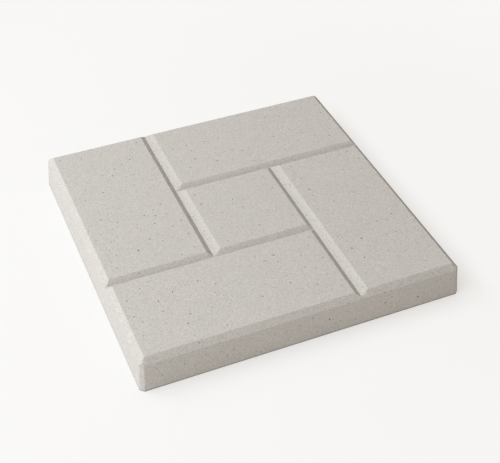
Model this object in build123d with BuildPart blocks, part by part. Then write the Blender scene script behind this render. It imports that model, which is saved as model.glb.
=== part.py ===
from build123d import *
import math
import os

# A square paving slab of one piece of cast concrete, lying with its face up.
# Four oblong blocks turn like the arms of a pinwheel about a square one. They
# are parted by V-shaped grooves, whose sloping sides meet in mitres at the
# corners of the blocks and run out through the bevel round the face.
# Millimetres. The origin is the middle of the bed face, +X runs to the right
# along the front edge, +Y runs to the back and +Z is up.

# Driving dimensions of the whole slab, the side measured on the bed face
slab_side = 300.0
slab_thickness = 33.0
side_draft_angle = 4.5
corner_flat_leg = 3.3

# Bevel round the face, from the shoulder of the sides up to the face
bevel_width = 5.2
bevel_depth = 4.8

# Grooves of the face. Of the two that run front to back, the slope that
# looks left is the wide one; every other slope has the common width.
groove_depth = 3.7
slope_width = 5.0
wide_slope_width = 7.7

# How far each groove lies off the third of the side, as the mould has it
left_groove_shift = 2.7
right_groove_shift = 2.3
front_groove_shift = -1.3
back_groove_shift = 0.6

# Levels, from the bed upwards
shoulder_height = slab_thickness - bevel_depth
groove_floor_height = slab_thickness - groove_depth

# Outline at the shoulder, what it would be at face level with no bevel, and
# the outline on the bevel at the level of the groove floors
lean = math.tan(math.radians(side_draft_angle))
shoulder_side = slab_side - 2 * lean * shoulder_height
drafted_face_side = slab_side - 2 * lean * slab_thickness
rim_inset = bevel_width * (bevel_depth - groove_depth) / bevel_depth
rim_side = shoulder_side - 2 * rim_inset
edge_slope_width = bevel_width - rim_inset

# Lines that bound the blocks on the groove floor level
third = shoulder_side / 3
left_edge = front_edge = -rim_side / 2
right_edge = back_edge = rim_side / 2
left_groove = -third / 2 + left_groove_shift
right_groove = third / 2 + right_groove_shift
front_groove = -third / 2 + front_groove_shift
back_groove = third / 2 + back_groove_shift

# Each block as its left, right, front and back line
front_block = (left_edge, right_groove, front_edge, front_groove)
right_block = (right_groove, right_edge, front_edge, back_groove)
back_block = (left_groove, right_edge, back_groove, back_edge)
left_block = (left_edge, left_groove, front_groove, back_edge)
middle_block = (left_groove, right_groove, front_groove, back_groove)

with BuildPart() as paving_slab:
    # Sides: drafted from the bed face up to the shoulder
    with BuildSketch(Plane.XY):
        Rectangle(slab_side, slab_side)
    with BuildSketch(Plane.XY.offset(shoulder_height)):
        Rectangle(shoulder_side, shoulder_side)
    loft()

    # Rim: the lower part of the bevel, which runs unbroken below the grooves
    with BuildSketch(Plane.XY.offset(shoulder_height)):
        Rectangle(shoulder_side, shoulder_side)
    with BuildSketch(Plane.XY.offset(groove_floor_height)):
        Rectangle(rim_side, rim_side)
    loft()

    # Blocks: each narrows upwards, by the bevel at the slab's edge and by a groove's slope elsewhere
    for left, right, front, back in (front_block, right_block, back_block, left_block, middle_block):
        face_left = left + (edge_slope_width if left == left_edge else wide_slope_width)
        face_right = right - (edge_slope_width if right == right_edge else slope_width)
        face_front = front + (edge_slope_width if front == front_edge else slope_width)
        face_back = back - (edge_slope_width if back == back_edge else slope_width)
        with BuildSketch(Plane.XY.offset(groove_floor_height)):
            with Locations(((left + right) / 2, (front + back) / 2)):
                Rectangle(right - left, back - front)
        with BuildSketch(Plane.XY.offset(slab_thickness)):
            with Locations(((face_left + face_right) / 2, (face_front + face_back) / 2)):
                Rectangle(face_right - face_left, face_back - face_front)
        loft()

    # Corners: a narrow flat with the draft of the sides, which runs out upwards in the bevels
    with BuildSketch(Plane.XY) as bed_outline:
        Rectangle(slab_side, slab_side)
        chamfer(bed_outline.vertices(), corner_flat_leg)
    with BuildSketch(Plane.XY.offset(slab_thickness)) as face_level_outline:
        Rectangle(drafted_face_side, drafted_face_side)
        chamfer(face_level_outline.vertices(), corner_flat_leg)
    loft(mode=Mode.INTERSECT)

paving_slab.part.label = "paving_slab"

os.makedirs("parts", exist_ok=True)
export_step(paving_slab.part, "parts/paving_slab.step")
print("paving_slab volume", round(paving_slab.part.volume, 1), "mm3")
print("faces", len(paving_slab.part.faces()), "solids", len(paving_slab.part.solids()))
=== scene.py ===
"""Looks of a square paving slab of cast concrete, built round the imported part.

The slab lies face up on the floor. Four oblong blocks turn like the arms of a
pinwheel about a square one, and V-shaped grooves part them. Lengths are metres
unless a name says otherwise, in the frame's axes: +X right, +Y back, +Z up.
"""

import logging
import math
import random
from dataclasses import dataclass, field
from enum import Enum
from typing import Iterable, Sequence, Union

import bmesh
import bpy
import numpy as np
from mathutils import Matrix, Vector, noise


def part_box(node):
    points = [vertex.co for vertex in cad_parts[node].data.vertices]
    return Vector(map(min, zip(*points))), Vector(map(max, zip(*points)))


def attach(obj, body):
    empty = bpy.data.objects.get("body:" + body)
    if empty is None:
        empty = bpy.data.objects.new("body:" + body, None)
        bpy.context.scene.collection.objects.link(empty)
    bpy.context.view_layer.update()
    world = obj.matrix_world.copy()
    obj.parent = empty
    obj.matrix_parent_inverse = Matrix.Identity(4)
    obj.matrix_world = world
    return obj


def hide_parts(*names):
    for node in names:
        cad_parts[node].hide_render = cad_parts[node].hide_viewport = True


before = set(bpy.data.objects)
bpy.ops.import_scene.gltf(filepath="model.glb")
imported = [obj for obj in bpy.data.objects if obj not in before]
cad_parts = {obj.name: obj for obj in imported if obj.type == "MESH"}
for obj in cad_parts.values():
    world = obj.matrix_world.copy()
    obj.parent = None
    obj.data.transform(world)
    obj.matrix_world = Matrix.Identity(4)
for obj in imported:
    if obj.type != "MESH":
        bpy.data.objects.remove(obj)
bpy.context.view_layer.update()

MM = 0.001
HALF = 0.5
PARALLEL = 0.99  # cosine above which two lines run the same way
FLAT = 0.9999  # cosine above which neighbouring faces count as one flat
PLACES = 6  # decimals of a metre to which the cuts are rounded
# Mask of the inside of each pore, where the finish paints shade.
PORE_SHADE_LAYER = "pore"
log = logging.getLogger("paving slab")

Colour = tuple[float, float, float]
Source = Union[float, bpy.types.NodeSocket]


class Axis(Enum):
    """The frame's axes, by the index of their coordinate."""

    X = 0
    Y = 1
    Z = 2

    def direction(self) -> Vector:
        """Unit vector along the axis."""
        return Vector([float(self.value == i) for i in range(3)])


class Fold(Enum):
    """How two faces meet along a line of the cast shape."""

    ARRIS = "arris"
    VALLEY = "valley"
    FOOT = "foot"


class Shell(Enum):
    """The parts of the slab's surface, by the slot of their material."""

    MOULDED = 0
    STRUCK = 1


# Node graphs


class Wiring:
    """Adds nodes to a node tree and joins them."""

    column_width: int = 190
    colour_a_socket: int = 6
    colour_b_socket: int = 7
    colour_output: int = 2

    def __init__(self, tree: bpy.types.NodeTree) -> None:
        """Starts on a tree.

        Args:
            tree: the material's, world's or group's node tree.
        """
        self.tree = tree
        self.count = 0

    def node(self, kind: str, **settings: object) -> bpy.types.Node:
        """Adds one node.

        Args:
            kind: the node's type, such as "ShaderNodeMath".
            settings: attributes of the node, set by name.

        Returns:
            The new node.
        """
        made = self.tree.nodes.new(kind)
        made.location = (self.column_width * self.count, 0)
        self.count += 1
        for name, value in settings.items():
            setattr(made, name, value)
        return made

    def feed(self, socket: bpy.types.NodeSocket, source: object) -> None:
        """Links a socket to another one, or sets its value.

        Args:
            socket: the input to fill.
            source: an output socket, or the value itself.
        """
        if isinstance(source, bpy.types.NodeSocket):
            self.tree.links.new(source, socket)
        else:
            socket.default_value = source

    def math(self, operation: str, *sources: Source, clamp: bool = False) -> bpy.types.NodeSocket:
        """Adds a Math node.

        Args:
            operation: the node's operation, such as "MULTIPLY_ADD".
            sources: its inputs in order.
            clamp: whether the result is held between 0 and 1.

        Returns:
            The node's output.
        """
        made = self.node("ShaderNodeMath", operation=operation, use_clamp=clamp)
        for socket, source in zip(made.inputs, sources):
            self.feed(socket, source)
        return made.outputs[0]

    def scale(self, vector: object, factor: Source) -> bpy.types.NodeSocket:
        """Adds a node that scales a vector or colour.

        Args:
            vector: an output socket, or the vector or colour itself.
            factor: what it is multiplied by.

        Returns:
            The scaled vector or colour.
        """
        made = self.node("ShaderNodeVectorMath", operation="SCALE")
        self.feed(made.inputs["Vector"], vector)
        self.feed(made.inputs["Scale"], factor)
        return made.outputs["Vector"]

    def smooth_step(self, value: Source, start: Source, end: Source) -> bpy.types.NodeSocket:
        """Adds a node that rises smoothly from 0 to 1.

        Args:
            value: what is mapped.
            start: the value at which the result is 0.
            end: the value at which the result is 1.

        Returns:
            The mapped value.
        """
        made = self.node("ShaderNodeMapRange", interpolation_type="SMOOTHSTEP")
        self.feed(made.inputs["Value"], value)
        self.feed(made.inputs["From Min"], start)
        self.feed(made.inputs["From Max"], end)
        return made.outputs["Result"]

    def sight(self) -> bpy.types.NodeSocket:
        """Adds a test of what a ray is for.

        Returns:
            1 for a ray that sees, directly, in gloss or through glass, and 0 for one that lights.
        """
        rays = self.node("ShaderNodeLightPath")
        seen = self.math("MAXIMUM", rays.outputs["Is Camera Ray"], rays.outputs["Is Glossy Ray"])
        return self.math("MAXIMUM", seen, rays.outputs["Is Transmission Ray"])

    def random_parts(self, source: bpy.types.NodeSocket) -> bpy.types.NodeOutputs:
        """Adds a node that parts a cell's random colour into three random numbers.

        Args:
            source: the random colour.

        Returns:
            The numbers, under Red, Green and Blue.
        """
        made = self.node("ShaderNodeSeparateColor")
        self.feed(made.inputs[0], source)
        return made.outputs

    def mix_colours(self, factor: Source, first: Colour, second: Colour) -> bpy.types.NodeSocket:
        """Adds a node that mixes two colours.

        Args:
            factor: the share of the second colour.
            first: the colour at 0.
            second: the colour at 1.

        Returns:
            The mixed colour.
        """
        made = self.node("ShaderNodeMix", data_type="RGBA")
        self.feed(made.inputs["Factor"], factor)
        self.feed(made.inputs[self.colour_a_socket], (*first, 1.0))
        self.feed(made.inputs[self.colour_b_socket], (*second, 1.0))
        return made.outputs[self.colour_output]

    def group(self, tree: bpy.types.NodeTree, **sources: object) -> bpy.types.Node:
        """Places a node group.

        Args:
            tree: the group's node tree.
            sources: the group's inputs, with _ for a space in their names.

        Returns:
            The group's node.
        """
        made = self.node("ShaderNodeGroup", node_tree=tree)
        for name, source in sources.items():
            self.feed(made.inputs[name.replace("_", " ")], source)
        return made


class Effect:
    """A shader node group with named inputs and outputs."""

    name: str = "effect"
    inputs: Sequence[tuple[str, str, float]] = ()
    outputs: Sequence[str] = ()

    def __init__(self) -> None:
        """Makes the group and wires it."""
        self.tree = bpy.data.node_groups.new(self.name, "ShaderNodeTree")
        self.tree.interface.new_socket("Vector", in_out="INPUT", socket_type="NodeSocketVector")
        for name, note, value in self.inputs:
            socket = self.tree.interface.new_socket(
                name, description=note, in_out="INPUT", socket_type="NodeSocketFloat"
            )
            socket.default_value = value
        for name in self.outputs:
            self.tree.interface.new_socket(name, in_out="OUTPUT", socket_type="NodeSocketFloat")
        self.wires = Wiring(self.tree)
        self.given = self.wires.node("NodeGroupInput").outputs
        results = self.wire()
        end = self.wires.node("NodeGroupOutput")
        for name, result in zip(self.outputs, results):
            self.wires.feed(end.inputs[name], result)

    def shrunk(self, size_name: str) -> bpy.types.NodeSocket:
        """The vector in units of the named size."""
        per_metre = self.wires.math("DIVIDE", 1.0, self.given[size_name])
        return self.wires.scale(self.given["Vector"], per_metre)

    def wire(self) -> Sequence[bpy.types.NodeSocket]:
        """Adds the group's nodes and returns the results in the order of its outputs."""
        raise NotImplementedError


class SandGrain(Effect):
    """Grains of sand in cement paste, each with its own tone and standing a little proud."""

    name = "sand grain"
    inputs = (
        ("Grain Size", "Mean width of a grain in metres", 1.0 * MM),
        ("Dark Share", "Share of the grains that are dark stone", 0.02),
    )
    outputs = ("Tone", "Dark", "Height")
    paste_scale: float = 1.4
    paste_detail: float = 2.0
    tone_spread: float = 1.2

    def wire(self) -> Sequence[bpy.types.NodeSocket]:
        """Adds the group's nodes.

        Returns:
            Tone, about -1 to 1, Dark, 1 in a dark grain, and Height, 0 to 1.
        """
        w = self.wires
        place = self.shrunk("Grain Size")
        grains = w.node("ShaderNodeTexVoronoi", feature="F1")
        w.feed(grains.inputs["Vector"], place)
        w.feed(grains.inputs["Scale"], 1.0)
        random_parts = w.random_parts(grains.outputs["Color"])
        paste = w.node("ShaderNodeTexNoise")
        w.feed(paste.inputs["Vector"], place)
        w.feed(paste.inputs["Scale"], self.paste_scale)
        w.feed(paste.inputs["Detail"], self.paste_detail)
        lowest = -HALF * self.tone_spread
        grain_tone = w.math("MULTIPLY_ADD", random_parts["Red"], self.tone_spread, lowest)
        paste_tone = w.math("SUBTRACT", paste.outputs["Fac"], HALF)
        tone = w.math("MULTIPLY_ADD", paste_tone, self.tone_spread, grain_tone)
        light_share = w.math("SUBTRACT", 1.0, self.given["Dark Share"])
        dark = w.math("GREATER_THAN", random_parts["Green"], light_share)
        crown = w.math("SUBTRACT", 1.0, grains.outputs["Distance"], clamp=True)
        paste_height = w.math("MULTIPLY", paste.outputs["Fac"], HALF)
        height = w.math("MULTIPLY_ADD", crown, HALF, paste_height)
        return tone, dark, height


class Pinholes(Effect):
    """Small round air holes, scattered one to a cell where the cell has one at all."""

    name = "pinholes"
    inputs = (
        ("Spacing", "Width of a cell in metres", 5.0 * MM),
        ("Radius", "Largest radius of a hole in metres", 0.4 * MM),
        ("Share", "Share of the cells that have a hole", 0.3),
    )
    outputs = ("Hole",)
    smallest_share: float = 0.5
    floor_share: float = 0.6

    def wire(self) -> Sequence[bpy.types.NodeSocket]:
        """Adds the group's nodes.

        Returns:
            Hole, 1 inside a hole and 0 outside it.
        """
        w = self.wires
        cells = w.node("ShaderNodeTexVoronoi", feature="F1")
        w.feed(cells.inputs["Vector"], self.shrunk("Spacing"))
        w.feed(cells.inputs["Scale"], 1.0)
        random_parts = w.random_parts(cells.outputs["Color"])
        largest = w.math("DIVIDE", self.given["Radius"], self.given["Spacing"])
        spread = 1.0 - self.smallest_share
        share = w.math("MULTIPLY_ADD", random_parts["Blue"], spread, self.smallest_share)
        own_radius = w.math("MULTIPLY", largest, share)
        floor_radius = w.math("MULTIPLY", own_radius, self.floor_share)
        inside = w.smooth_step(cells.outputs["Distance"], own_radius, floor_radius)
        present = w.math("LESS_THAN", random_parts["Red"], self.given["Share"])
        return (w.math("MULTIPLY", inside, present),)


class Clouding(Effect):
    """Slow changes of tone, as damp and cement-rich patches leave them."""

    name = "clouding"
    inputs = (("Patch Size", "Width of a patch in metres", 30.0 * MM),)
    outputs = ("Tone",)
    detail: float = 1.0
    tone_spread: float = 4.0

    def wire(self) -> Sequence[bpy.types.NodeSocket]:
        """Adds the group's nodes.

        Returns:
            Tone, about -1 to 1.
        """
        w = self.wires
        patches = w.node("ShaderNodeTexNoise")
        w.feed(patches.inputs["Vector"], self.shrunk("Patch Size"))
        w.feed(patches.inputs["Scale"], 1.0)
        w.feed(patches.inputs["Detail"], self.detail)
        lowest = -HALF * self.tone_spread
        return (w.math("MULTIPLY_ADD", patches.outputs["Fac"], self.tone_spread, lowest),)


@dataclass(frozen=True)
class Effects:
    """The node groups that the concrete finishes share."""

    sand: SandGrain
    pinholes: Pinholes
    clouding: Clouding


@dataclass(frozen=True)
class ConcreteFinish:
    """A concrete surface: cement paste with sand, pinholes and slow changes of tone.

    The contrasts are shares of the colour, and the relief is a depth. The pinholes, the pores, the
    valleys and the foot darken as painted shade, and the arrises lighten as a painted highlight.
    """

    name: str
    cool_colour: Colour
    warm_colour: Colour
    grain_size: float
    grain_contrast: float
    dark_share: float
    dark_contrast: float
    patch_size: float
    patch_contrast: float
    pinhole_spacing: float
    pinhole_radius: float
    pinhole_share: float
    # Painted shade: share by which the colour darkens inside the shader pinholes.
    pinhole_painted_shade: float
    # Painted shade: share by which the colour darkens inside the open pores.
    pore_painted_shade: float
    # Painted highlight: share by which the colour lightens along the arrises.
    arris_painted_highlight: float
    # Painted shade: share by which the colour darkens near the groove valleys.
    valley_painted_shade: float
    # Painted shade: share by which the colour darkens along the foot, where the slab meets the
    # floor.
    foot_painted_shade: float
    relief_depth: float
    roughness: float

    def material(self, effects: Effects) -> bpy.types.Material:
        """Builds the material.

        Args:
            effects: the node groups to place.

        Returns:
            The finished material.
        """
        made = bpy.data.materials.new(self.name)
        made.use_nodes = True
        made.node_tree.nodes.clear()
        w = Wiring(made.node_tree)
        place = w.node("ShaderNodeTexCoord").outputs["Object"]
        sand = w.group(
            effects.sand.tree, Vector=place, Grain_Size=self.grain_size, Dark_Share=self.dark_share
        )
        holes = w.group(
            effects.pinholes.tree,
            Vector=place,
            Spacing=self.pinhole_spacing,
            Radius=self.pinhole_radius,
            Share=self.pinhole_share,
        )
        patches = w.group(effects.clouding.tree, Vector=place, Patch_Size=self.patch_size)
        tone = w.math("MULTIPLY_ADD", sand.outputs["Tone"], self.grain_contrast, 1.0)
        # The marks below add grain, patches and dark grains to the tone, and also painted shade
        # and a painted highlight.
        for source, contrast in (
            (patches.outputs["Tone"], self.patch_contrast),
            (sand.outputs["Dark"], -self.dark_contrast),
            # Painted shade: the colour darkens inside the pinholes, as shade in a hole would.
            (holes.outputs["Hole"], -self.pinhole_painted_shade),
            # Painted shade: the colour darkens inside the open pores.
            (PORE_SHADE_LAYER, -self.pore_painted_shade),
            # Painted highlight: the colour lightens along the arrises.
            (Fold.ARRIS.value, self.arris_painted_highlight),
            # Painted shade: the colour darkens near the groove valleys.
            (Fold.VALLEY.value, -self.valley_painted_shade),
            # Painted shade: the colour darkens along the foot, as a contact shadow.
            (Fold.FOOT.value, -self.foot_painted_shade),
        ):
            if isinstance(source, str):
                source = w.node("ShaderNodeAttribute", attribute_name=source).outputs["Fac"]
            tone = w.math("MULTIPLY_ADD", source, contrast, tone)

        warmth = w.math("MULTIPLY_ADD", patches.outputs["Tone"], HALF, HALF, clamp=True)
        colour = w.scale(w.mix_colours(warmth, self.cool_colour, self.warm_colour), tone)

        height = w.math("SUBTRACT", sand.outputs["Height"], holes.outputs["Hole"])
        bump = w.node("ShaderNodeBump")
        w.feed(bump.inputs["Distance"], self.relief_depth)
        w.feed(bump.inputs["Height"], height)

        shader = w.node("ShaderNodeBsdfPrincipled")
        w.feed(shader.inputs["Base Color"], colour)
        w.feed(shader.inputs["Roughness"], self.roughness)
        w.feed(shader.inputs["Normal"], bump.outputs["Normal"])
        w.feed(w.node("ShaderNodeOutputMaterial").inputs["Surface"], shader.outputs["BSDF"])
        return made


MOULDED_FACE = ConcreteFinish(
    name="moulded_concrete",
    cool_colour=(0.580, 0.546, 0.499),
    warm_colour=(0.588, 0.548, 0.499),
    grain_size=0.50 * MM,
    grain_contrast=0.30,
    dark_share=0.015,
    dark_contrast=0.30,
    patch_size=28.0 * MM,
    patch_contrast=0.008,
    pinhole_spacing=4.0 * MM,
    pinhole_radius=0.62 * MM,
    pinhole_share=0.50,
    # Pinholes, pores, valleys and the foot darken as painted shade; the arrises lighten as a
    # painted highlight.
    pinhole_painted_shade=0.80,
    pore_painted_shade=0.78,
    arris_painted_highlight=0.04,
    valley_painted_shade=0.125,
    foot_painted_shade=0.60,
    relief_depth=0.18 * MM,
    roughness=0.9,
)

STRUCK_BED = ConcreteFinish(
    name="struck_concrete",
    cool_colour=(0.520, 0.498, 0.462),
    warm_colour=(0.548, 0.512, 0.468),
    grain_size=1.6 * MM,
    grain_contrast=0.14,
    dark_share=0.03,
    dark_contrast=0.30,
    patch_size=24.0 * MM,
    patch_contrast=0.03,
    pinhole_spacing=5.0 * MM,
    pinhole_radius=1.0 * MM,
    pinhole_share=0.5,
    # Pinholes, pores, valleys and the foot darken as painted shade; the arrises lighten as a
    # painted highlight.
    pinhole_painted_shade=0.45,
    pore_painted_shade=0.45,
    arris_painted_highlight=0.03,
    valley_painted_shade=0.10,
    foot_painted_shade=0.15,
    relief_depth=0.3 * MM,
    roughness=0.95,
)


# The slab


@dataclass(frozen=True)
class FoldLine:
    """A straight line along which two faces of the cast shape meet."""

    start: Vector
    end: Vector
    fold: Fold

    def level_on(self, axis: Axis, tolerance: float = 1e-6) -> bool:
        """Whether the line keeps one coordinate on the axis."""
        return abs(self.end[axis.value] - self.start[axis.value]) < tolerance

    def runs_along(self, direction: Vector) -> bool:
        """Whether the line is parallel to a direction."""
        return abs((self.end - self.start).normalized().dot(direction)) > PARALLEL


class FoldLines:
    """The fold lines of the cast shape, and how far points lie from them."""

    def __init__(self, lines: Iterable[FoldLine]) -> None:
        """Keeps the lines, and their ends as arrays.

        Args:
            lines: the fold lines.
        """
        self.lines = list(lines)
        self.starts = np.array([line.start for line in self.lines])
        self.spans = np.array([line.end - line.start for line in self.lines])

    def only(self, fold: Fold) -> "FoldLines":
        """The lines of one kind of fold."""
        return FoldLines(line for line in self.lines if line.fold is fold)

    def nearest(self, points: Sequence[Vector]) -> list[tuple[float, FoldLine]]:
        """Finds the nearest line to each point.

        Args:
            points: the places to measure from.

        Returns:
            The distance and the line for each point.
        """
        offsets = np.array(points)[:, None] - self.starts
        shares = np.clip((offsets * self.spans).sum(2) / (self.spans**2).sum(1), 0.0, 1.0)
        gaps = np.linalg.norm(offsets - shares[..., None] * self.spans, axis=2)
        return [(float(row[i]), self.lines[i]) for row, i in zip(gaps, gaps.argmin(1))]


@dataclass(frozen=True)
class FoldReach:
    """How far from a fold line the surface is rounded, and how far its colour carries painted
    light: a painted highlight by an arris, painted shade by a valley or the foot.
    """

    rounding: float
    painted_light: float


@dataclass(frozen=True)
class ArrisWear:
    """How the arrises of the cast shape are rounded, ragged and nicked."""

    reach: float = 1.0 * MM
    round_passes: int = 2
    round_factor: float = 0.5
    ragged_depth: float = 0.05 * MM
    ragged_length: float = 2.2 * MM
    ragged_lift: float = 0.25
    nick_depth: float = 0.30 * MM
    nick_length: float = 5.0 * MM
    nick_threshold: float = 0.42
    nick_shift: tuple[float, float, float] = (7.0, 3.0, 5.0)

    def bite(self, point: Vector) -> float:
        """Depth to which the arris is worn away.

        Args:
            point: a place on the arris.

        Returns:
            The depth in metres, never below 0.
        """
        fine = noise.noise(point / self.ragged_length)
        ragged = max(0.0, fine + self.ragged_lift) * self.ragged_depth
        coarse = noise.noise(point / self.nick_length + Vector(self.nick_shift))
        nick = max(0.0, coarse - self.nick_threshold)
        return ragged + nick * self.nick_depth / (1.0 - self.nick_threshold)


@dataclass(frozen=True)
class PoreBatch:
    """Open air pores of one size on the cast faces."""

    count: int
    radius: float
    depth: float


@dataclass(frozen=True)
class PoreForm:
    """How uneven the pores are, and how a pore narrows to its round bottom."""

    size_range: tuple[float, float] = (0.75, 1.15)
    rim_range: tuple[float, float] = (0.85, 1.1)
    floor_share: float = 0.86
    wall_share: float = 0.6
    bottom_share: float = 0.4


@dataclass
class PavingSlab:
    """The slab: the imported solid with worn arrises, open pores and a struck bed.

    A rise is the upward part of a face's normal: below side_rise a face counts as
    a side when the sides are cut, below bed_rise it is the bed, and above
    pore_rise it may have pores.
    """

    node: str = "paving_slab"
    body: str = "root"
    slot: str = "concrete"
    name: str = "cast_slab"
    merge_distance: float = 1e-6
    flat_angle_deg: float = 0.5
    fold_angle_deg: float = 8.0
    foot_tolerance: float = 0.01 * MM
    band_offsets: tuple[float, ...] = (0.22 * MM, 0.6 * MM, 1.6 * MM)
    band_slack: float = 1.01
    coarse_pitch: float = 5.0 * MM
    fine_pitch: float = 1.25 * MM
    long_edge_pitches: float = 1.4
    cut_tolerance: float = 1e-7
    side_rise: float = 0.3
    bed_rise: float = -0.9
    bed_tolerance: float = 0.05 * MM
    bed_relief: float = 0.35 * MM
    bed_relief_length: float = 14.0 * MM
    pore_rise: float = -0.5
    pore_drift: float = 1.4 * MM
    pore_clearance: float = 3.0 * MM
    pore_gap: float = 9.0 * MM
    pore_form: PoreForm = field(default_factory=PoreForm)
    seed: int = 41
    wear: ArrisWear = field(default_factory=ArrisWear)
    # The second reach of each fold is how far its painted highlight (arrises) or painted shade
    # (valleys, foot) spreads.
    reaches: dict[Fold, FoldReach] = field(
        default_factory=lambda: {
            Fold.ARRIS: FoldReach(rounding=0.4 * MM, painted_light=0.7 * MM),
            Fold.VALLEY: FoldReach(rounding=0.1 * MM, painted_light=4.0 * MM),
            Fold.FOOT: FoldReach(rounding=0.0, painted_light=1.3 * MM),
        }
    )
    pores: tuple[PoreBatch, ...] = (
        PoreBatch(count=140, radius=0.48 * MM, depth=0.60 * MM),
        PoreBatch(count=115, radius=0.60 * MM, depth=0.85 * MM),
        PoreBatch(count=65, radius=0.74 * MM, depth=1.10 * MM),
    )

    def build(self, effects: Effects) -> bpy.types.Object:
        """Builds and dresses the slab.

        Args:
            effects: the node groups for its materials.

        Returns:
            The finished piece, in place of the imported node.
        """
        shape = bmesh.new()
        shape.from_mesh(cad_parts[self.node].data)
        self.clean(shape)
        folds = self.fold_lines(shape)
        self.cut_grid(shape, folds)
        self.cut_bands(shape, folds)
        self.soften(shape, folds)
        self.roughen_bed(shape)
        self.open_pores(shape, folds)
        # Masks for the painted highlight by the arrises and the painted shade in the valleys and
        # at the foot.
        self.painted_light(shape, folds)
        return self.piece(shape, effects)

    def clean(self, shape: bmesh.types.BMesh) -> None:
        """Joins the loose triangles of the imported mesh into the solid's own flat faces.

        Args:
            shape: the mesh as it was packed.
        """
        bmesh.ops.remove_doubles(shape, verts=shape.verts[:], dist=self.merge_distance)
        bmesh.ops.dissolve_limit(
            shape,
            angle_limit=math.radians(self.flat_angle_deg),
            verts=shape.verts[:],
            edges=shape.edges[:],
        )

    def fold_lines(self, shape: bmesh.types.BMesh) -> FoldLines:
        """Lists the lines where the solid's faces meet at an angle.

        Args:
            shape: the mesh, with one face for each face of the solid.

        Returns:
            The lines, each with its kind of fold.
        """
        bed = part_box(self.node)[0].z
        lines = []
        for edge in shape.edges:
            angle = edge.calc_face_angle_signed(0.0)
            if abs(angle) > math.radians(self.fold_angle_deg):
                start, end = (v.co.copy() for v in edge.verts)
                fold = Fold.ARRIS if angle > 0 else Fold.VALLEY
                if max(start.z, end.z) < bed + self.foot_tolerance:
                    fold = Fold.FOOT
                lines.append(FoldLine(start, end, fold))
        return FoldLines(lines)

    def stations(self, folds: FoldLines, axis: Axis) -> list[float]:
        """Places the cuts across one axis.

        They stand close beside the fold lines and at most a coarse pitch apart.

        Args:
            folds: the fold lines of the solid.
            axis: the axis that the cuts cross.

        Returns:
            The coordinates of the cuts in rising order.
        """
        level = [line.start[axis.value] for line in folds.lines if line.level_on(axis)]
        own = {round(place, PLACES) for place in level}
        low, high = (corner[axis.value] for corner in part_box(self.node))
        offsets = [side * gap for gap in self.band_offsets for side in (-1, 1)]
        near = {round(place + offset, PLACES) for place in own for offset in offsets}
        marks: list[float] = []
        for mark in sorted(c for c in own | near if low < c < high):
            if not marks or mark - marks[-1] > HALF * self.band_offsets[0] or mark in own:
                marks.append(mark)
        filled = []
        for start, end in zip([low] + marks, marks + [high]):
            steps = max(1, math.ceil((end - start) / self.coarse_pitch))
            filled += [start + (end - start) * i / steps for i in range(1, steps + 1)]
        return filled[:-1]

    def cut_grid(self, shape: bmesh.types.BMesh, folds: FoldLines) -> None:
        """Cuts the faces across X and Y, and the sides across Z, at their stations.

        Args:
            shape: the mesh.
            folds: the fold lines of the solid.
        """
        for axis in Axis:
            for place in self.stations(folds, axis):
                faces, around = shape.faces[:], [*shape.edges, *shape.verts]
                if axis is Axis.Z:
                    faces = [f for f in faces if abs(f.normal.z) < self.side_rise]
                    edges = dict.fromkeys(e for f in faces for e in f.edges)
                    verts = dict.fromkeys(v for f in faces for v in f.verts)
                    around = [*edges, *verts]
                bmesh.ops.bisect_plane(
                    shape,
                    geom=[*faces, *around],
                    dist=self.cut_tolerance,
                    plane_co=axis.direction() * place,
                    plane_no=axis.direction(),
                )

    def cut_bands(self, shape: bmesh.types.BMesh, folds: FoldLines) -> None:
        """Divides the narrow faces beside the fold lines along their length.

        Args:
            shape: the mesh.
            folds: the fold lines of the solid.
        """
        by_cuts: dict[int, list[bmesh.types.BMEdge]] = {}
        long_length = self.long_edge_pitches * self.fine_pitch
        long_edges = [edge for edge in shape.edges if edge.calc_length() > long_length]
        ends = [[vert.co for vert in edge.verts] for edge in long_edges]
        near = folds.nearest([(start + end) / 2 for start, end in ends])
        reach = self.band_slack * self.band_offsets[-1]
        for edge, (start, end), (gap, line) in zip(long_edges, ends, near):
            if gap < reach and line.runs_along((end - start).normalized()):
                cuts = round(edge.calc_length() / self.fine_pitch) - 1
                by_cuts.setdefault(cuts, []).append(edge)
        for cuts, edges in sorted(by_cuts.items()):
            bmesh.ops.subdivide_edges(
                shape, edges=edges, cuts=max(1, cuts), use_grid_fill=True, use_single_edge=False
            )

    def soften(self, shape: bmesh.types.BMesh, folds: FoldLines) -> None:
        """Rounds the folds a little and wears the arrises.

        Args:
            shape: the mesh.
            folds: the fold lines of the solid.
        """
        near = dict(zip(shape.verts, folds.nearest([v.co for v in shape.verts])))
        rounded = [v for v, (gap, line) in near.items() if gap < self.reaches[line.fold].rounding]
        for _ in range(self.wear.round_passes):
            bmesh.ops.smooth_vert(
                shape,
                verts=rounded,
                factor=self.wear.round_factor,
                use_axis_x=True,
                use_axis_y=True,
                use_axis_z=True,
            )
        shape.normal_update()
        for vert, (gap, line) in near.items():
            if gap < self.wear.reach and line.fold is Fold.ARRIS:
                vert.co -= vert.normal * self.wear.bite(vert.co) * (1.0 - gap / self.wear.reach)

    def roughen_bed(self, shape: bmesh.types.BMesh) -> None:
        """Lifts the inner bed face unevenly, as a struck surface is.

        Args:
            shape: the mesh.
        """
        low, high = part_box(self.node)
        for vert in shape.verts:
            x, y, z = vert.co
            margin = min(x - low.x, high.x - x, y - low.y, high.y - y) - self.band_offsets[-1]
            if z < low.z + self.bed_tolerance and margin > 0:
                swell = HALF + HALF * noise.noise(vert.co / self.bed_relief_length)
                vert.co.z += self.bed_relief * swell * min(1.0, margin / self.coarse_pitch)

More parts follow.
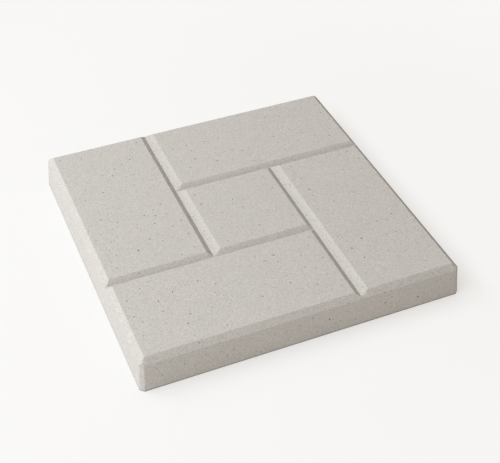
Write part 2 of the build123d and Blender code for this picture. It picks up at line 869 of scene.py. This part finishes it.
    def pore_places(self, shape: bmesh.types.BMesh, folds: FoldLines) -> list[bmesh.types.BMVert]:
        """Lists the points of the coarse grid on the flats and the sides that a pore may take.

        Args:
            shape: the mesh.
            folds: the fold lines of the solid.

        Returns:
            The points, clear of the fold lines and of the pores that are there.
        """
        regular = [
            v
            for v in shape.verts
            if len(v.link_edges) == 4
            and v.normal.z > self.pore_rise
            and all(f.normal.dot(v.normal) > FLAT for f in v.link_faces)
            and min(e.calc_length() for e in v.link_edges) > 2.0 * self.pore_drift
        ]
        near = folds.nearest([v.co for v in regular])
        return [v for v, (gap, _) in zip(regular, near) if gap > self.pore_clearance]

    def open_pores(self, shape: bmesh.types.BMesh, folds: FoldLines) -> None:
        """Opens round air pores in the flats and the sides, one batch after the other.

        Args:
            shape: the mesh.
            folds: the fold lines of the solid.
        """
        dice = random.Random(self.seed)
        shape.verts.layers.float.new(PORE_SHADE_LAYER)
        centres: list[Vector] = []
        for batch in self.pores:
            places = self.pore_places(shape, folds)
            dice.shuffle(places)
            taken: list[bmesh.types.BMVert] = []
            for vert in places:
                if len(taken) == batch.count:
                    break
                if all((vert.co - centre).length > self.pore_gap for centre in centres):
                    taken.append(vert)
                    centres.append(vert.co.copy())
            for vert in taken:
                turn = Matrix.Rotation(dice.uniform(0.0, math.tau), 3, vert.normal)
                drift = turn @ vert.normal.orthogonal().normalized()
                vert.co += drift * dice.uniform(0.0, self.pore_drift)
            mouths = bmesh.ops.bevel(
                shape,
                geom=taken,
                offset=batch.radius,
                offset_type="OFFSET",
                affect="VERTICES",
                segments=1,
                profile=0.5,
                material=-1,
            )["faces"]
            self.sink(shape, mouths, batch, dice)
            shape.normal_update()

    def sink(
        self,
        shape: bmesh.types.BMesh,
        mouths: Sequence[bmesh.types.BMFace],
        batch: PoreBatch,
        dice: random.Random,
    ) -> None:
        """Makes the mouths round and sinks them into the concrete.

        Args:
            shape: the mesh.
            mouths: one small face for each pore.
            batch: the pores' size.
            dice: the source of chance for their unevenness.
        """
        form = self.pore_form
        rims = dict.fromkeys(e for mouth in mouths for e in mouth.edges)
        bmesh.ops.subdivide_edges(shape, edges=list(rims), cuts=1, use_single_edge=False)
        for mouth in mouths:
            centre = mouth.calc_center_median()
            size = dice.uniform(*form.size_range) * batch.radius
            for vert in mouth.verts:
                outward = (vert.co - centre).normalized()
                vert.co = centre + outward * size * dice.uniform(*form.rim_range)
            for edge in mouth.edges:
                edge.smooth = False
        # The inside of each pore is marked for the painted shade that the finish puts there.
        layer = shape.verts.layers.float[PORE_SHADE_LAYER]
        floors = bmesh.ops.extrude_discrete_faces(shape, faces=list(mouths))["faces"]
        for pore_floor in floors:
            centre, inward = pore_floor.calc_center_median(), -pore_floor.normal.copy()
            for vert in pore_floor.verts:
                narrowed = (vert.co - centre) * form.floor_share
                vert.co = centre + narrowed + inward * batch.depth * form.wall_share
                vert[layer] = 1.0
        sag = -form.bottom_share * batch.depth
        for vert in bmesh.ops.poke(shape, faces=floors, offset=sag)["verts"]:
            vert[layer] = 1.0

    def painted_light(self, shape: bmesh.types.BMesh, folds: FoldLines) -> None:
        """Writes how near each point is to an arris, a valley and the foot: masks for the painted
        highlight by the arrises and the painted shade in the valleys and at the foot.

        Args:
            shape: the mesh.
            folds: the fold lines of the solid.
        """
        for fold, reach in self.reaches.items():
            layer = shape.verts.layers.float.new(fold.value)
            near = folds.only(fold).nearest([vert.co for vert in shape.verts])
            for vert, (gap, _) in zip(shape.verts, near):
                vert[layer] = max(0.0, 1.0 - gap / reach.painted_light)

    def piece(self, shape: bmesh.types.BMesh, effects: Effects) -> bpy.types.Object:
        """Turns the mesh into the finished object.

        Args:
            shape: the finished mesh, which is freed.
            effects: the node groups for its materials.

        Returns:
            The object, which rides on its body and replaces its node.
        """
        for face in shape.faces:
            face.smooth = True
            shell = Shell.STRUCK if face.normal.z < self.bed_rise else Shell.MOULDED
            face.material_index = shell.value
        bmesh.ops.recalc_face_normals(shape, faces=shape.faces[:])
        loose = sum(not edge.is_manifold for edge in shape.edges)
        triangles = sum(len(face.verts) - 2 for face in shape.faces)
        mesh = bpy.data.meshes.new(self.name)
        shape.to_mesh(mesh)
        shape.free()
        for finish in (MOULDED_FACE, STRUCK_BED):
            mesh.materials.append(finish.material(effects))
        made = bpy.data.objects.new(self.name, mesh)
        bpy.context.scene.collection.objects.link(made)
        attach(made, self.body)
        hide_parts(self.node)
        log.info("%s: %d triangles, %d open edges", self.name, triangles, loose)
        return made


# The studio


@dataclass(frozen=True)
class PaleFloor:
    """A plain pale floor that fades into the background and keeps a soft shadow.

    The camera sees its plain colour, with a share of the true light near the
    slab, and more of it close to the slab's foot.
    """

    half_side: float = 12.0
    seen_colour: Colour = (0.939, 0.930, 0.913)
    lit_colour: Colour = (0.90, 0.89, 0.87)
    seen_dimming: float = 0.11
    near_lift: float = 0.046
    shadow_share: float = 0.23
    contact_share: float = 0.55
    contact_reach: float = 24.0 * MM
    contact_samples: int = 8
    fade_start: float = 0.22
    fade_end: float = 0.60

    def material(self) -> bpy.types.Material:
        """Builds the floor's material, which is seen mostly as its plain colour.

        Returns:
            The finished material.
        """
        made = bpy.data.materials.new("pale_floor")
        made.use_nodes = True
        made.node_tree.nodes.clear()
        w = Wiring(made.node_tree)
        distance = w.node("ShaderNodeVectorMath", operation="LENGTH")
        w.feed(distance.inputs[0], w.node("ShaderNodeTexCoord").outputs["Object"])
        near = w.smooth_step(distance.outputs["Value"], self.fade_end, self.fade_start)
        contact = w.node("ShaderNodeAmbientOcclusion", samples=self.contact_samples)
        w.feed(contact.inputs["Distance"], self.contact_reach)
        closeness = w.math("SUBTRACT", 1.0, contact.outputs["AO"])
        share = w.math("MULTIPLY_ADD", closeness, self.contact_share, self.shadow_share)
        true_light = w.math("MULTIPLY", near, share)
        seen = w.sight()
        lit = w.node("ShaderNodeBsdfDiffuse")
        lit_level = w.math("MULTIPLY_ADD", seen, -self.seen_dimming, 1.0)
        w.feed(lit.inputs["Color"], w.scale(self.lit_colour, lit_level))
        plain = w.node("ShaderNodeEmission")
        plain_level = w.math("MULTIPLY_ADD", near, self.near_lift, 1.0)
        w.feed(plain.inputs["Color"], w.scale(self.seen_colour, plain_level))
        mix = w.node("ShaderNodeMixShader")
        w.feed(mix.inputs[0], w.math("MULTIPLY", seen, w.math("SUBTRACT", 1.0, true_light)))
        w.feed(mix.inputs[1], lit.outputs[0])
        w.feed(mix.inputs[2], plain.outputs[0])
        w.feed(w.node("ShaderNodeOutputMaterial").inputs["Surface"], mix.outputs[0])
        return made

    def build(self) -> bpy.types.Object:
        """Builds the floor under the slab.

        Returns:
            The floor, which is stage and not part of the object.
        """
        shape = bmesh.new()
        bmesh.ops.create_grid(shape, x_segments=1, y_segments=1, size=self.half_side)
        mesh = bpy.data.meshes.new("floor")
        shape.to_mesh(mesh)
        shape.free()
        mesh.materials.append(self.material())
        made = bpy.data.objects.new("floor", mesh)
        bpy.context.scene.collection.objects.link(made)
        return made


@dataclass(frozen=True)
class SoftLight:
    """One long soft window of light on the left, and even light from all round."""

    place: Vector = field(default_factory=lambda: Vector((-1.36, 0.22, 1.45)))
    aim: Vector = field(default_factory=Vector)
    length: float = 3.8
    height: float = 0.50
    power: float = 52.6
    lamp_colour: Colour = (0.940, 1.0, 1.087)
    even_level: float = 0.325
    even_colour: Colour = (1.090, 1.0, 0.880)
    backdrop_colour: Colour = (0.939, 0.930, 0.913)

    def build(self) -> None:
        """Sets up the lamp and the world."""
        lamp = bpy.data.lights.new("window", "AREA")
        lamp.shape = "RECTANGLE"
        lamp.size, lamp.size_y = self.length, self.height
        lamp.energy = self.power
        lamp.color = self.lamp_colour
        window = bpy.data.objects.new("window", lamp)
        bpy.context.scene.collection.objects.link(window)
        window.location = self.place
        window.rotation_euler = (self.aim - self.place).to_track_quat("-Z", "Y").to_euler()

        world = bpy.data.worlds.new("even light")
        bpy.context.scene.world = world
        world.use_nodes = True
        world.node_tree.nodes.clear()
        w = Wiring(world.node_tree)
        even = w.node("ShaderNodeBackground")
        w.feed(even.inputs["Color"], (*self.even_colour, 1.0))
        w.feed(even.inputs["Strength"], self.even_level)
        seen = w.node("ShaderNodeBackground")
        w.feed(seen.inputs["Color"], (*self.backdrop_colour, 1.0))
        mix = w.node("ShaderNodeMixShader")
        w.feed(mix.inputs[0], w.sight())
        w.feed(mix.inputs[1], even.outputs[0])
        w.feed(mix.inputs[2], seen.outputs[0])
        w.feed(w.node("ShaderNodeOutputWorld").inputs["Surface"], mix.outputs[0])


@dataclass(frozen=True)
class Viewpoint:
    """The camera, placed by its direction and distance from a point beside the bed's middle."""

    azimuth_deg: float = -22.717
    elevation_deg: float = 41.187
    roll_deg: float = -0.042
    distance: float = 993.622 * MM
    aim_right: float = 8.656 * MM
    aim_up: float = 2.241 * MM
    focal_pixels: float = 1038.213
    image_width: int = 500
    sensor_width: float = 36.0
    clip_start: float = 0.01
    clip_end: float = 100.0

    def build(self) -> bpy.types.Object:
        """Makes the scene's camera.

        Returns:
            The camera.
        """
        turn, rise = math.radians(self.azimuth_deg), math.radians(self.elevation_deg)
        level = math.cos(rise)
        back = Vector((math.sin(turn) * level, -math.cos(turn) * level, math.sin(rise)))
        right = Vector((math.cos(turn), math.sin(turn), 0.0))
        up = back.cross(right)
        lens = bpy.data.cameras.new("viewpoint")
        lens.sensor_width = self.sensor_width
        lens.lens = self.focal_pixels / self.image_width * self.sensor_width
        lens.clip_start, lens.clip_end = self.clip_start, self.clip_end
        camera = bpy.data.objects.new("viewpoint", lens)
        bpy.context.scene.collection.objects.link(camera)
        roll = Matrix.Rotation(math.radians(self.roll_deg), 3, "Z")
        axes = Matrix((right, up, back)).transposed() @ roll
        place = right * self.aim_right + up * self.aim_up + back * self.distance
        camera.matrix_world = Matrix.Translation(place) @ axes.to_4x4()
        bpy.context.scene.camera = camera
        return camera


def main() -> None:
    """Builds the slab and the studio round it."""
    logging.basicConfig(level=logging.INFO, format="%(name)s: %(message)s")
    effects = Effects(SandGrain(), Pinholes(), Clouding())
    slab = PavingSlab().build(effects)
    log.info("built %s for node %s", slab.name, PavingSlab.node)
    PaleFloor().build()
    SoftLight().build()
    Viewpoint().build()
    bpy.context.scene.view_settings.view_transform = "Standard"


if __name__ == "__main__":
    main()
